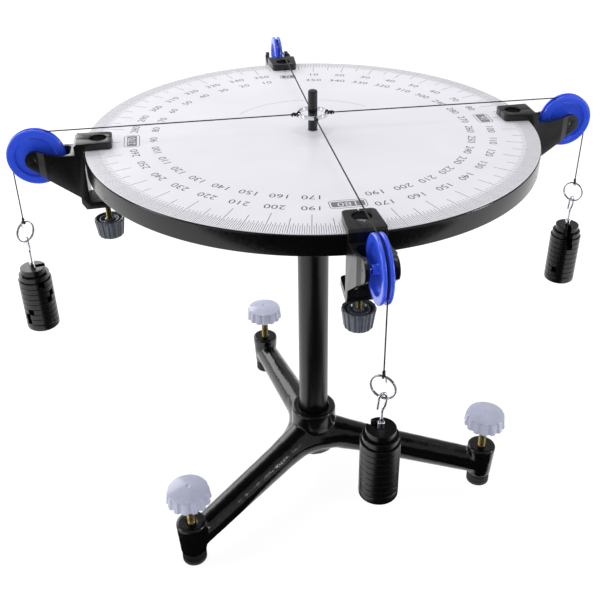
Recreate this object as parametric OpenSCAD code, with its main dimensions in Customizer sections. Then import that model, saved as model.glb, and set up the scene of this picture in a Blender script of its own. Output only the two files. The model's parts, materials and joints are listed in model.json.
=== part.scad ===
// Force table: a round table on a tripod stand, with four pulleys clamped to its rim.
// Four threads run from a ring round the centre pin, over the pulleys, to hangers of slotted masses.
// Millimetres. The origin is on the floor, on the column's axis; +Z is up.
// Dial 0 degrees is at the back (+Y) and 90 degrees is at +X.

/* [Table] */
// Diameter of the round table top
table_d = 400; // [390:1:410]
// Thickness of the table's rim
rim_h = 18.2; // [17:0.1:20]
// Height of the dial's face above the floor
top_z = 395; // [390:1:420]

/* [Stand] */
// Diameter of the column
column_d = 30.4; // [28:0.2:31]
// Diameter of the hub that holds the column
hub_d = 48; // [46:1:52]
// Distance of each foot from the column's axis
foot_reach = 183.5; // [170:0.5:190]
// Diameter of a foot boss at its top
boss_d = 30; // [29:0.5:32]
// Diameter of a rubber foot pad
pad_d = 24; // [22:0.5:25]
// Height of the bosses' bottom faces above the floor
boss_low = 12.5; // [12:0.1:13]

/* [Levelling screws] */
// Diameter of a levelling knob's skirt
level_knob_d = 43; // [41:0.5:44]
// Diameter of a levelling screw
level_screw_d = 8; // [7.5:0.1:8.2]

/* [Centre] */
// Diameter of the centre pin
pin_d = 8.4; // [8:0.1:8.8]
// Rise of the centre pin above the dial
pin_rise = 36; // [30:1:40]
// Outer diameter of the centre ring
ring_d = 27; // [26:0.5:27.5]
// Height of the centre ring's band
ring_band = 3.5; // [3:0.1:3.6]

/* [Clamps] */
// Width of a clamp at the table's rim
clamp_w = 28; // [27:0.5:29]
// Width of a clamp's upper jaw at its nose
nose_w = 25.5; // [24:0.5:27]
// Thickness of a clamp's jaws
jaw_t = 6; // [5.5:0.1:6.5]
// Diameter of the sight window in the upper jaw
window_d = 15; // [12:0.5:15.5]
// Diameter of the clamp screw
clamp_screw_d = 5; // [4.6:0.1:5.2]
// Diameter of the clamp knob's wide end
clamp_knob_d = 27; // [26.5:0.5:28]

/* [Pulleys] */
// Diameter of a pulley
pulley_d = 49; // [47:0.5:50]
// Diameter of a pulley's axle
axle_d = 2; // [1.8:0.1:2.4]

/* [Threads] */
// Diameter of the thread
thread_d = 1; // [0.8:0.1:1.2]

/* [Hangers and masses] */
// Diameter of a large slotted mass
mass_d = 29.6; // [29:0.2:31]
// Thickness of a large slotted mass
mass_t = 5.4; // [5.2:0.05:5.6]
// Diameter of a hanger's rod
rod_d = 5; // [4.5:0.1:5.1]
// Outer diameter of a split ring
split_ring_d = 20; // [19:0.5:21]

/* [Hidden] */
DIALS = [0, 90, 180, 270];
LEGS = [100, 220, 340];
function tag(list, name) = [for (i = [0:len(list) - 1]) str(name, "_", list[i])];
$fn = 96;

// Clearances: a running fit on the radius, and a gap between pieces of different bodies
fit = 0.05;
gap = 0.3;

// Table
edge_r = table_d / 2;
dial_t = 0.8;
dial_r = edge_r - 0.7;
disc_top = top_z - dial_t;
disc_low = top_z - rim_h;
web_t = 5;
rim_w = 28;
disc_boss_r = 32;
disc_boss_low = top_z - 45;
socket_top = top_z - 26.5;
pin_floor = top_z - 22.5;

// Stand
column_r = column_d / 2;
socket_floor = 36;
hub_r = hub_d / 2;
hub_low = 26.5;
hub_top = 79;
boss_top = 50;
boss_low_r = boss_d / 2 - 2.25;
leg_hub_z = 46.5;
leg_foot_z = 25.75;
leg_hub_r = 15.6;
leg_foot_r = boss_low_r + 0.45;
leg_tilt = atan2(leg_hub_z - leg_foot_z, foot_reach);
leg_length = norm([foot_reach, leg_hub_z - leg_foot_z]);
fillet_r = 19.5;
fillet_length = 52;
set_screw_r = 3;
set_screw_turn = 160;
hub_screw_z = 67;
disc_screw_z = disc_boss_low + 9;

// Levelling screws
level_r = level_screw_d / 2;
level_knob_low = 79;
level_knob_side = 13;
level_knob_top = 96.5;
level_knob_flare = 1.6;
level_shoulder = 1;
level_screw_top = level_knob_top - 5;
level_cap_r = 50;
level_flutes = 14;
level_tip = 4;

// Centre ring
ring_r = ring_d / 2;
ring_t = 1.6;

// Clamp, in its own frame: X outwards from the column's axis, Z up from the dial's face
off_mark = 0.8;
jaw_in = edge_r - 24;
jaw_corner = 4;
web_in = edge_r + 0.5;
web_out = web_in + 7.2;
mouth_low = -48;
jaw_low = mouth_low - jaw_t;
jaw_top = gap + jaw_t;
window_x = edge_r - 12.5;
index_w = 1;
index_depth = 0.8;
arm_top = -3;
arm_low = -43;
arm_t = 3.2;
slot_corner = 4.5;
slot_in = web_out + 3.8;
bend_x = web_out + 25;
bend_run = 5.5;
bend_in = 2;
tip_r = 8.5;

// Pulley
axle = [web_out + 32.8, -6.5];
axle_r = axle_d / 2;
axle_half = clamp_w / 2 - bend_in - 0.2;
flange_r = 1.5;
groove_w = 2;
groove_r = pulley_d / 2 - 3.8;
pulley_face = groove_w / 2 + 2 * flange_r;
dish_r = 17;
pulley_web = 1.6;
pulley_hub_r = 3.5;
pulley_hub = 5.7;

// Clamp screw
clamp_screw_r = clamp_screw_d / 2;
clamp_pad_r = 4.5;
clamp_pad_top = -rim_h - gap;
clamp_pad_low = clamp_pad_top - 3;
nose_r = 1.5;
clamp_knob_top = -70.3;
clamp_knob_h = 17.2;
clamp_knob_r = clamp_knob_d / 2;
clamp_knob_end_r = clamp_knob_r - 1.9;
clamp_knob_round = 2.4;
clamp_grip = 14.5;
clamp_flutes = 16;

// Thread
thread_r = thread_d / 2;
run_r = groove_r + gap + thread_r;
run_z = axle[1] + run_r;
drop_x = axle[0] + run_r;
knot_r = 1.6;

// Split rings, hangers and masses: one value for each station, in the order of DIALS
ring_top = [-70, -73, -78.5, -67.4];
ring_turn = [-20, 42, -38, -40];
hook_turn = [150, 30, 112, 110];
slot_turn = [
  [200, 20, 75, 140, 250, 10, 320, 95, 180, 60],
  [70, 218, 120, 85, 145, 60, 266, 262, 262, 254],
  [150, 190, 120, 215, 135, 180, 225, 160, 200, 221],
  [46, 44, 62, 250, 140, 154, 290, 118, 265, 190]];
wire_r = 0.65;
wire_pitch = 0.6;
split_r = split_ring_d / 2 - wire_r;
ring_loop_r = norm([wire_r, wire_r + wire_pitch / 2]) + gap + thread_r + 0.25;
hook_wire_r = 1.2;
hook_r = 3.3;
hook_tail = 8;
hook_neck = 4;
neck_r = 8;
rod_r = rod_d / 2;
rod_top = -21.5;
stack_top = -26.7;
base_t = 7.8;
mass_gap = 0.1;
mass_count = 8;
small_t = [5.2, 6];
small_r = [13.5, 11.25];
slot_w = rod_d + 0.5;

function circle_points(centre, r, from, to, steps) =
  [for (i = [0:steps]) let (a = from + (to - from) * i / steps) centre + r * [cos(a), sin(a)]];

// Where the line from p touches the circle, on the side given by side = 1 or -1
function touch(p, centre, r, side) =
  let (d = norm(centre - p), a = atan2(centre[1] - p[1], centre[0] - p[0]) + side * asin(r / d))
  p + sqrt(d * d - r * r) * [cos(a), sin(a)];

// Heights of the masses' lower faces below the hook's axis, from the base up, with their sizes
function mass_size(i) = i < mass_count ? [mass_d / 2, mass_t] : [small_r[i - mass_count], small_t[i - mass_count]];
function mass_low(i) = i == 0 ? base_top + 0.2 : mass_low(i - 1) + mass_size(i - 1)[1] + mass_gap;
stack_h = mass_count * (mass_t + mass_gap) + small_t[0] + small_t[1] + mass_gap;
base_top = stack_top - stack_h - 0.2;

// Stand

module leg_pose(turn) rotate([0, 0, turn]) translate([0, 0, leg_hub_z]) rotate([0, 90 + leg_tilt, 0]) children();

module at_foot(turn) rotate([0, 0, turn]) translate([foot_reach, 0, 0]) children();

module set_screw_line(z, r, from, to)
  rotate([0, 0, set_screw_turn]) translate([from, 0, z]) rotate([0, 90, 0]) cylinder(r = r, h = to - from);

module tripod_base() color([0.05, 0.05, 0.055]) difference() {
  union() {
    translate([0, 0, hub_low]) cylinder(r = hub_r, h = hub_top - hub_low - 1.5);
    translate([0, 0, hub_top - 1.5]) cylinder(r1 = hub_r, r2 = hub_r - 1.5, h = 1.5);
    for (turn = LEGS) {
      leg_pose(turn) rotate_extrude() polygon([
        [0, 0], [fillet_r, 0], [leg_hub_r, fillet_length], [leg_foot_r, leg_length], [0, leg_length]]);
      at_foot(turn) translate([0, 0, boss_low]) cylinder(r1 = boss_low_r, r2 = boss_d / 2, h = boss_top - boss_low - 1.5);
      at_foot(turn) translate([0, 0, boss_top - 1.5]) cylinder(r1 = boss_d / 2, r2 = boss_d / 2 - 1.5, h = 1.5);
    }
  }
  translate([0, 0, socket_floor]) cylinder(r = column_r + fit, h = hub_top);
  for (turn = LEGS) at_foot(turn) cylinder(r = level_r + fit, h = top_z);
  set_screw_line(hub_screw_z, set_screw_r + fit, 0, hub_r + 1);
}

module column() color([0.06, 0.06, 0.065])
  translate([0, 0, socket_floor]) cylinder(r = column_r, h = socket_top - gap - socket_floor);

module set_screws() color([0.2, 0.2, 0.21]) {
  set_screw_line(hub_screw_z, set_screw_r, column_r + fit, hub_r - 1.5);
  set_screw_line(disc_screw_z, set_screw_r, column_r + fit, column_r + 8);
}

module foot_pad(turn) color([0.08, 0.08, 0.08]) at_foot(turn) difference() {
  union() {
    cylinder(r1 = pad_d / 2 - 1, r2 = pad_d / 2, h = 1);
    translate([0, 0, 1]) cylinder(r = pad_d / 2, h = boss_low - gap - 1);
  }
  translate([0, 0, level_tip - gap]) cylinder(r = level_r + fit, h = boss_low);
}

module level_screw(turn) color([0.75, 0.62, 0.25])
  at_foot(turn) translate([0, 0, level_tip]) cylinder(r = level_r, h = level_screw_top - fit - level_tip);

module level_knob(turn) color([0.55, 0.57, 0.69]) at_foot(turn) difference() {
  skirt_r = level_knob_d / 2;
  cap_centre = [0, level_knob_top - level_cap_r];
  side_r = skirt_r - level_knob_flare;
  shoulder_turn = acos((side_r - level_shoulder) / level_cap_r);
  flute_lean = atan2(level_shoulder, level_knob_side);
  rotate_extrude() polygon(concat(
    [[skirt_r, level_knob_low], [side_r, level_knob_low + level_knob_side - 1.2]],
    circle_points(cap_centre, level_cap_r, shoulder_turn, 90, 6),
    [[0, level_screw_top], [level_r + fit, level_screw_top], [level_r + fit, level_knob_low + 1],
      [level_r + 3.5, level_knob_low + 1], [level_r + 3.5, level_knob_low + 8],
      [skirt_r - 5, level_knob_low + 8], [skirt_r - 4.5, level_knob_low]]));
  for (i = [0:level_flutes - 1])
    rotate([0, 0, i * 360 / level_flutes]) translate([skirt_r + 1.1, 0, level_knob_low - 1])
      rotate([0, -flute_lean, 0]) cylinder(r = 2.7, h = level_knob_side + 6);
}

// Table

module table_disc() color([0.05, 0.05, 0.055]) difference() {
  rotate_extrude() polygon([
    [0, socket_top], [column_r + fit, socket_top], [column_r + fit, disc_boss_low],
    [disc_boss_r - 2, disc_boss_low], [disc_boss_r, disc_boss_low + 2], [disc_boss_r, disc_top - web_t],
    [edge_r - rim_w, disc_top - web_t], [edge_r - rim_w, disc_low], [edge_r - 0.8, disc_low],
    [edge_r, disc_low + 0.8], [edge_r, disc_top - 0.5], [edge_r - 0.5, disc_top],
    [pin_d / 2 + fit, disc_top], [pin_d / 2 + fit, pin_floor], [0, pin_floor]]);
  set_screw_line(disc_screw_z, set_screw_r + fit, 0, disc_boss_r + 1);
}

module dial_plate() color([0.93, 0.93, 0.95]) translate([0, 0, disc_top]) difference() {
  cylinder(r = dial_r, h = dial_t);
  translate([0, 0, -1]) cylinder(r = pin_d / 2 + 0.25, h = dial_t + 2);
}

module centre_pin() color([0.06, 0.06, 0.07]) translate([0, 0, pin_floor + gap]) {
  cylinder(r = pin_d / 2, h = top_z + pin_rise - 0.6 - pin_floor - gap);
  translate([0, 0, top_z + pin_rise - 0.6 - pin_floor - gap]) cylinder(r1 = pin_d / 2, r2 = pin_d / 2 - 0.6, h = 0.6);
}

module centre_ring() color([0.8, 0.82, 0.86]) translate([0, 0, top_z + run_z]) rotate_extrude() polygon([
  [ring_r - ring_t, -ring_band / 2 + 0.3], [ring_r - ring_t + 0.3, -ring_band / 2],
  [ring_r - 0.3, -ring_band / 2], [ring_r, -ring_band / 2 + 0.3], [ring_r, ring_band / 2 - 0.3],
  [ring_r - 0.3, ring_band / 2], [ring_r - ring_t + 0.3, ring_band / 2], [ring_r - ring_t, ring_band / 2 - 0.3]]);

// Clamps

// Two of the clamps stand a little off their marks
module at_station(dial) translate([0, 0, top_z]) rotate([0, 0, 90 - dial + (dial > 90 ? off_mark : 0)]) children();

// Extrudes a side view, drawn in X and Z, across the clamp
module across(w) rotate([90, 0, 0]) translate([0, 0, -w / 2]) linear_extrude(w) children();

module clamp_side() polygon([
  [jaw_in, gap], [web_in, gap], [web_in, mouth_low], [jaw_in, mouth_low], [jaw_in, jaw_low],
  [web_out - 3.5, jaw_low], [web_out, jaw_low + 6], [web_out, jaw_top - 2], [web_out - 2, jaw_top],
  [jaw_in, jaw_top]]);

module clamp_plan() {
  polygon([[jaw_in + jaw_corner, nose_w / 2], [web_in, clamp_w / 2], [web_out, clamp_w / 2],
    [web_out, -clamp_w / 2], [web_in, -clamp_w / 2], [jaw_in + jaw_corner, -nose_w / 2]]);
  translate([jaw_in, -nose_w / 2 + jaw_corner]) square([2 * jaw_corner, nose_w - 2 * jaw_corner]);
  for (side = [-1, 1]) translate([jaw_in + jaw_corner, side * (nose_w / 2 - jaw_corner)]) circle(r = jaw_corner);
}

module fork_side() {
  top = [web_out + 11.3, arm_top];
  low = [web_out - 1, arm_low];
  polygon([low, touch(low, axle, tip_r, -1), axle, touch(top, axle, tip_r, 1), top, [web_out - 1, arm_top]]);
  translate(axle) circle(r = tip_r);
}

module fork_plan() {
  half = clamp_w / 2;
  end = axle[0] + tip_r + 1;
  difference() {
    polygon([[web_out - 1, half], [bend_x, half], [bend_x + bend_run, half - bend_in], [end, half - bend_in],
      [end, bend_in - half], [bend_x + bend_run, bend_in - half], [bend_x, -half], [web_out - 1, -half]]);
    polygon([[slot_in + slot_corner, half - arm_t], [bend_x - 1, half - arm_t],
      [bend_x + bend_run - 1, half - arm_t - bend_in], [end + 1, half - arm_t - bend_in],
      [end + 1, arm_t + bend_in - half], [bend_x + bend_run - 1, arm_t + bend_in - half],
      [bend_x - 1, arm_t - half], [slot_in + slot_corner, arm_t - half]]);
    translate([slot_in, slot_corner + arm_t - half]) square([2 * slot_corner, 2 * (half - arm_t - slot_corner)]);
    for (side = [-1, 1])
      translate([slot_in + slot_corner, side * (half - arm_t - slot_corner)]) circle(r = slot_corner);
  }
}

module clamp_body(dial) color([0.16, 0.17, 0.18]) at_station(dial) difference() {
  union() {
    intersection() {
      across(clamp_w) clamp_side();
      translate([0, 0, jaw_low - 1]) linear_extrude(jaw_top - jaw_low + 2) clamp_plan();
    }
    intersection() {
      across(clamp_w) fork_side();
      translate([0, 0, arm_low - 1]) linear_extrude(60) fork_plan();
    }
  }
  translate([window_x, 0, 0]) cylinder(r = window_d / 2, h = 10);
  translate([window_x, 0, jaw_low - 1]) cylinder(r = clamp_screw_r + fit, h = jaw_t + 2);
  translate([axle[0], 15, axle[1]]) rotate([90, 0, 0]) cylinder(r = axle_r + fit, h = 30);
  translate([jaw_in - 1, -index_w / 2, jaw_top - index_depth]) cube([web_out - jaw_in - 1, index_w, 1]);
  translate([jaw_in - 1, -index_w / 2, 0]) cube([1 + index_depth, index_w, 10]);
}

module clamp_pad(dial) color([0.7, 0.7, 0.72]) at_station(dial) translate([window_x, 0, clamp_pad_low]) difference() {
  cylinder(r = clamp_pad_r, h = clamp_pad_top - clamp_pad_low);
  translate([0, 0, -1]) cylinder(r = nose_r + fit, h = 2.6);
}

module clamp_screw(dial) color([0.75, 0.62, 0.25]) at_station(dial) translate([window_x, 0, 0]) {
  translate([0, 0, clamp_knob_top - clamp_grip])
    cylinder(r = clamp_screw_r, h = clamp_pad_low - gap - clamp_knob_top + clamp_grip);
  translate([0, 0, clamp_pad_low - gap]) cylinder(r = nose_r, h = 1.6);
}

module clamp_knob(dial) color([0.42, 0.44, 0.48])
  at_station(dial) translate([window_x, 0, clamp_knob_top - clamp_knob_h]) difference() {
    taper = atan2(clamp_knob_r - clamp_knob_end_r, clamp_knob_h - clamp_knob_round);
    rotate_extrude() polygon([
      [0, 0],
      each circle_points([clamp_knob_end_r - clamp_knob_round, clamp_knob_round], clamp_knob_round, -90, 0, 4),
      [clamp_knob_r, clamp_knob_h], [11.2, clamp_knob_h], [11.2, clamp_knob_h - 4], [9, clamp_knob_h - 4],
      [9, clamp_knob_h - 0.6], [7.6, clamp_knob_h - 0.6], [7.6, clamp_knob_h - 3], [4.2, clamp_knob_h - 3], [4.2, clamp_knob_h - 0.4],
      [clamp_screw_r + fit, clamp_knob_h - 0.4], [clamp_screw_r + fit, clamp_knob_h - clamp_grip - 0.1],
      [0, clamp_knob_h - clamp_grip - 0.1]]);
    for (i = [0:clamp_flutes - 1])
      rotate([0, 0, i * 360 / clamp_flutes]) translate([clamp_knob_end_r + 0.5, 0, -1]) rotate([0, taper, 0])
        cylinder(r = 1.5, h = clamp_knob_h + 4);
  }

// Pulleys

module pulley_axle(dial) color([0.8, 0.8, 0.82]) at_station(dial)
  translate([axle[0], axle_half, axle[1]]) rotate([90, 0, 0]) cylinder(r = axle_r, h = 2 * axle_half);

module pulley(dial) color([0.19, 0.31, 0.88]) at_station(dial) translate([axle[0], 0, axle[1]]) rotate([90, 0, 0])
  rotate_extrude() {
    rim = [pulley_d / 2 - flange_r, groove_w / 2 + flange_r];
    half = concat(
      [[axle_r + fit, pulley_hub], [pulley_hub_r, pulley_hub], [pulley_hub_r, pulley_web], [dish_r, pulley_web],
        [dish_r + 1, pulley_face]],
      circle_points(rim, flange_r, 90, -90, 8), [[groove_r, groove_w / 2]]);
    polygon(concat(half, [for (i = [len(half) - 1:-1:0]) [half[i][0], -half[i][1]]]));
  }

// Threads

module bend(r, wire, angle) rotate_extrude(angle = angle) translate([r, 0]) circle(r = wire);

module thread(i) color([0.1, 0.08, 0.07]) at_station(DIALS[i]) {
  ring_centre = [ring_r - ring_t / 2, 0, run_z];
  loop_r = norm([ring_t, ring_band]) / 2 + gap + thread_r;
  start = ring_centre[0] + loop_r + 1;
  hang = [drop_x, 0, ring_top[i] - wire_r];
  hang_top = hang[2] + ring_loop_r + 1;
  translate(ring_centre) rotate([90, 0, 0]) bend(loop_r, thread_r, 360);
  translate([start, 0, run_z]) sphere(r = knot_r);
  translate([start, 0, run_z]) rotate([0, 90, 0]) cylinder(r = thread_r, h = axle[0] - start);
  translate([axle[0], 0, axle[1]]) rotate([90, 0, 0]) bend(run_r, thread_r, 90);
  translate([drop_x, 0, hang_top]) cylinder(r = thread_r, h = axle[1] - hang_top);
  translate([drop_x, 0, hang_top]) sphere(r = knot_r);
  translate(hang) rotate([0, 0, ring_turn[i]]) rotate([90, 0, 0]) bend(ring_loop_r, thread_r, 360);
}

// Hangers

module at_hook(i) at_station(DIALS[i]) translate([drop_x, 0, ring_top[i] - split_ring_d + wire_r]) children();

module split_ring(i) color([0.75, 0.76, 0.78])
  at_station(DIALS[i]) translate([drop_x, 0, ring_top[i] - split_ring_d / 2]) rotate([0, 0, ring_turn[i]])
    rotate([0, 90, 0]) rotate_extrude() for (side = [-1, 1])
      translate([split_r, side * wire_pitch / 2]) circle(r = wire_r);

// The hook's wire, in X and Z: a tail, a half turn over the split ring, and a neck that leads back to the rod
hook_lean = acos(1 - hook_r / 2 / neck_r);
hook_drop = 2 * neck_r * sin(hook_lean);
hook_path = concat(
  [[-hook_r - 0.9, -hook_tail]],
  circle_points([0, 0], hook_r, 184, 0, 12),
  circle_points([hook_r - neck_r, -hook_neck], neck_r, 0, -hook_lean, 4),
  circle_points([neck_r, -hook_neck - hook_drop], neck_r, 180 - hook_lean + 9, 180, 3),
  [[0, rod_top - 2]]);

// A tube of radius r along a path in X and Z
module flat_tube(path, r, sides) {
  last = len(path) - 1;
  rings = [for (i = [0:last]) let (
    along = path[min(i + 1, last)] - path[max(i - 1, 0)],
    out = [-along[1], along[0]] / norm(along))
    for (k = [0:sides - 1]) let (a = 360 * k / sides)
      [path[i][0] + r * cos(a) * out[0], r * sin(a), path[i][1] + r * cos(a) * out[1]]];
  walls = [for (i = [0:last - 1], k = [0:sides - 1]) let (a = i * sides + k, b = i * sides + (k + 1) % sides)
    each [[a, b, b + sides], [a, b + sides, a + sides]]];
  end = last * sides;
  caps = [for (k = [1:sides - 2]) each [[0, k, k + 1], [end, end + k + 1, end + k]]];
  polyhedron(rings, concat(walls, caps));
}

module hanger_hook(i) color([0.8, 0.82, 0.86]) at_hook(i) rotate([0, 0, hook_turn[i]]) {
  flat_tube(hook_path, hook_wire_r, 10);
  translate([0, 0, rod_top - 0.6]) cylinder(r1 = rod_r, r2 = rod_r - 0.6, h = 0.6);
  translate([0, 0, base_top - base_t + 1.5]) cylinder(r = rod_r, h = rod_top - 0.6 - base_top + base_t - 1.5);
}

module hanger_base(i) color([0.07, 0.07, 0.075]) at_hook(i) translate([0, 0, base_top - base_t]) difference() {
  rotate_extrude() polygon([
    [0, 0], [mass_d / 2 - 1.5, 0], [mass_d / 2, 1.5], [mass_d / 2, base_t - 0.4], [mass_d / 2 - 0.4, base_t], [0, base_t]]);
  translate([0, 0, 1.4]) cylinder(r = rod_r + fit, h = base_t);
}

module slotted_mass(r, t) difference() {
  rotate_extrude() polygon([[0, 0], [r - 0.4, 0], [r, 0.4], [r, t - 0.4], [r - 0.4, t], [0, t]]);
  translate([0, 0, -1]) cylinder(r = slot_w / 2, h = t + 2);
  translate([0, -slot_w / 2, -1]) cube([r + 1, slot_w, t + 2]);
}

module slotted_masses(i) color([0.07, 0.07, 0.075]) at_hook(i)
  for (k = [0:mass_count + 1])
    translate([0, 0, mass_low(k)]) rotate([0, 0, slot_turn[i][k]]) slotted_mass(mass_size(k)[0], mass_size(k)[1]);

tripod_base();
column();
table_disc();
dial_plate();
set_screws();
centre_pin();
centre_ring();
for (turn = LEGS) {
  foot_pad(turn);
  level_screw(turn);
  level_knob(turn);
}
for (i = [0:len(DIALS) - 1]) {
  clamp_body(DIALS[i]);
  pulley_axle(DIALS[i]);
  pulley(DIALS[i]);
  clamp_pad(DIALS[i]);
  clamp_screw(DIALS[i]);
  clamp_knob(DIALS[i]);
  thread(i);
  split_ring(i);
  hanger_hook(i);
  hanger_base(i);
  slotted_masses(i);
}
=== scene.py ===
# Force table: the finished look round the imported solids.
# Sizes are in millimetres, angles in degrees; mm turns a size to Blender's metres.
import json
from math import acos, asin, atan2, cos, degrees, pi, radians, sin, sqrt

import bmesh
import bpy
from mathutils import Matrix, Vector, noise


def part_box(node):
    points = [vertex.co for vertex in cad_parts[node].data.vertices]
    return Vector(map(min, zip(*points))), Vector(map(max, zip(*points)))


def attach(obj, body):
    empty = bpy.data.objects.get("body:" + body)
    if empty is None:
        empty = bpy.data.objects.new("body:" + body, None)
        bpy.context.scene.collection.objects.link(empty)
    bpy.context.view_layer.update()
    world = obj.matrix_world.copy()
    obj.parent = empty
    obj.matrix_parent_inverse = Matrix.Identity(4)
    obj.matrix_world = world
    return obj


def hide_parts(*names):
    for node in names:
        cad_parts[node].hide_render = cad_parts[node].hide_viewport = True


mm = 0.001
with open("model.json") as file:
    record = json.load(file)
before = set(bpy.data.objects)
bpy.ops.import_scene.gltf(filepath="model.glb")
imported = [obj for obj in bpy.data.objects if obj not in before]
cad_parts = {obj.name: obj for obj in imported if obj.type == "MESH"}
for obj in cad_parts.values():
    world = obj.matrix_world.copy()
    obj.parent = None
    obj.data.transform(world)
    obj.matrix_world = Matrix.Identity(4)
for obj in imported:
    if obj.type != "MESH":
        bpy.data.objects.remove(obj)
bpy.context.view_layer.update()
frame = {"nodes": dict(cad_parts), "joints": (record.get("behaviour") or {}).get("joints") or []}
joints = {joint["name"]: joint for joint in frame["joints"]}
legs = (100, 220, 340)   # azimuth of each leg
dials = (0, 90, 180, 270)   # dial mark at each clamp


def newObject(name, data):   # linked to the scene
    item = bpy.data.objects.new(name, data)
    bpy.context.scene.collection.objects.link(item)
    return item


# Camera

photoView = {
    "place": (-121.1, -704.7, 669.6),
    "yaw": 9.761,   # to the right of the back
    "down": 31.18,
    "roll": -0.172,
    "lens": 50.44,   # on a 36 mm sensor
    "shift": (-0.02225, -0.0331),
}


def placeCamera():
    camera = newObject("camera", bpy.data.cameras.new("camera"))
    camera.data.sensor_width = 36
    camera.data.lens = photoView["lens"]
    camera.data.shift_x, camera.data.shift_y = photoView["shift"]
    camera.data.clip_start = 10 * mm
    camera.location = Vector(photoView["place"]) * mm
    aim = Matrix.Rotation(-radians(photoView["yaw"]), 4, "Z")
    aim @= Matrix.Rotation(radians(90 - photoView["down"]), 4, "X")
    aim @= Matrix.Rotation(radians(photoView["roll"]), 4, "Z")
    camera.rotation_euler = aim.to_euler()
    bpy.context.scene.camera = camera


placeCamera()
print("camera placed")


# Shape helpers. They make plain lists of vertices and faces in millimetres.

def arc(centre, radius, start, end, steps):
    turns = [radians(start + (end - start) * i / steps) for i in range(steps + 1)]
    return [(centre[0] + radius * cos(t), centre[1] + radius * sin(t)) for t in turns]


# profile: (radius, height) points, revolved about Z; shape(radius, height, turn) can bend the radius
def turned(profile, steps=96, loop=False, shape=None):
    vertices, rows = [], []
    for radius, height in profile:
        if radius == 0:   # closes on the axis
            rows.append([len(vertices)] * steps)
            vertices.append((0, 0, height))
            continue
        rows.append(range(len(vertices), len(vertices) + steps))
        for i in range(steps):
            turn = 2 * pi * i / steps
            reach = shape(radius, height, turn) if shape else radius
            vertices.append((reach * cos(turn), reach * sin(turn), height))
    faces = []
    for low, high in zip(rows, rows[1:] + rows[:1] if loop else rows[1:]):
        for i in range(steps):
            j = (i + 1) % steps
            face = tuple(dict.fromkeys((low[i], low[j], high[j], high[i])))
            if len(face) > 2:
                faces.append(face)
    return vertices, faces


def banded(rings, count, loop=False):   # faces between rings of count points, each ring to the next
    starts = [ring * count for ring in range(rings)]
    steps = list(zip(starts, starts[1:] + starts[:1] if loop else starts[1:]))
    return [(a + i, a + (i + 1) % count, b + (i + 1) % count, b + i) for a, b in steps for i in range(count)]


def capped(rings, count):   # the same, closed by a flat face at both ends
    last = (rings - 1) * count
    return banded(rings, count) + [tuple(range(count - 1, -1, -1)), tuple(range(last, last + count))]


# outline: (across, up) points carried along the path and turned by spin at each of its points;
# taper: the share by which both ends are thinner than the middle
def swept(path, outline, spin=0, taper=0):
    path = [Vector(p) for p in path]
    vertices = []
    along = (path[1] - path[0]).normalized()
    across = along.orthogonal().normalized()
    for i, point in enumerate(path):
        ahead = (path[min(i + 1, len(path) - 1)] - path[max(i - 1, 0)]).normalized()
        across = (along.rotation_difference(ahead) @ across).normalized()
        along = ahead
        up = along.cross(across)
        turn = radians(spin * i)
        size = 1 - taper * (2 * i / (len(path) - 1) - 1) ** 6
        for u, v in outline:
            a = u * cos(turn) - v * sin(turn)
            b = u * sin(turn) + v * cos(turn)
            vertices.append(point + (across * a + up * b) * size)
    return vertices, capped(len(path), len(outline))


def slab(outline, low, high):   # a flat outline (x, y) made solid between two heights
    return [(x, y, z) for z in (low, high) for x, y in outline], capped(2, len(outline))


def roundOutline(radius, sides=16):
    return arc((0, 0), radius, 0, 360 - 360 / sides, sides - 1)


def roundRect(width, height, corner, steps=6):
    points = []
    for quarter, (sx, sy) in enumerate(((1, 1), (-1, 1), (-1, -1), (1, -1))):
        centre = (sx * (width / 2 - corner), sy * (height / 2 - corner))
        points += arc(centre, corner, 90 * quarter, 90 * quarter + 90, steps)
    return points


def moved(shape, place):
    return [place @ Vector(v) for v in shape[0]], shape[1]


def joined(*shapes):
    vertices, faces = [], []
    for shape in shapes:
        faces += [tuple(len(vertices) + i for i in face) for face in shape[1]]
        vertices += list(shape[0])
    return vertices, faces


def addFaces(work, shape):
    points = [work.verts.new(Vector(v) * mm) for v in shape[0]]
    for face in shape[1]:
        work.faces.new([points[i] for i in face])


def toMesh(work, name):   # with its faces turned outwards
    bmesh.ops.recalc_face_normals(work, faces=work.faces)
    mesh = bpy.data.meshes.new(name)
    work.to_mesh(mesh)
    work.free()
    return mesh


def evaluated(source):   # the mesh that an object's modifiers or font make; the object itself goes
    mesh = bpy.data.meshes.new_from_object(source.evaluated_get(bpy.context.evaluated_depsgraph_get()))
    bpy.data.objects.remove(source)
    return mesh


def addPiece(name, mesh, finish, body, slotName, *nodes, crease=38):   # edges over crease degrees stay sharp
    mesh.shade_smooth()
    mesh.set_sharp_from_angle(angle=radians(crease))
    piece = newObject(name, mesh)
    mesh.materials.clear()
    mesh.materials.append(finishes[finish])
    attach(piece, body)
    if nodes:
        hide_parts(*nodes)
    return piece


def addShape(name, shape, *rest, crease=38):   # rest: finish, body, slot (not used) and the CAD nodes that it replaces
    work = bmesh.new()
    addFaces(work, shape)
    return addPiece(name, toMesh(work, name), *rest, crease=crease)


rounding = {"flat": 0.5, "shallow": 12, "sharp": 30, "bendLength": 8, "steps": 3, "bendSteps": 5}


def cadSolid(node):   # a working copy, without the doubled points between its faces
    work = bmesh.new()
    work.from_mesh(frame["nodes"][node].data)
    bmesh.ops.remove_doubles(work, verts=work.verts, dist=0.001 * mm)
    return work


def roundEdges(work, width, steps, least, most=360, length=0):   # those whose faces turn by least...most
    edges = [e for e in work.edges if e.is_manifold and e.calc_length() >= length * mm
             and radians(least) < e.calc_face_angle(0) < radians(most)]
    bmesh.ops.bevel(work, geom=edges, offset=width * mm, segments=steps, profile=0.5, affect="EDGES",
                    clamp_overlap=True)


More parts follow.
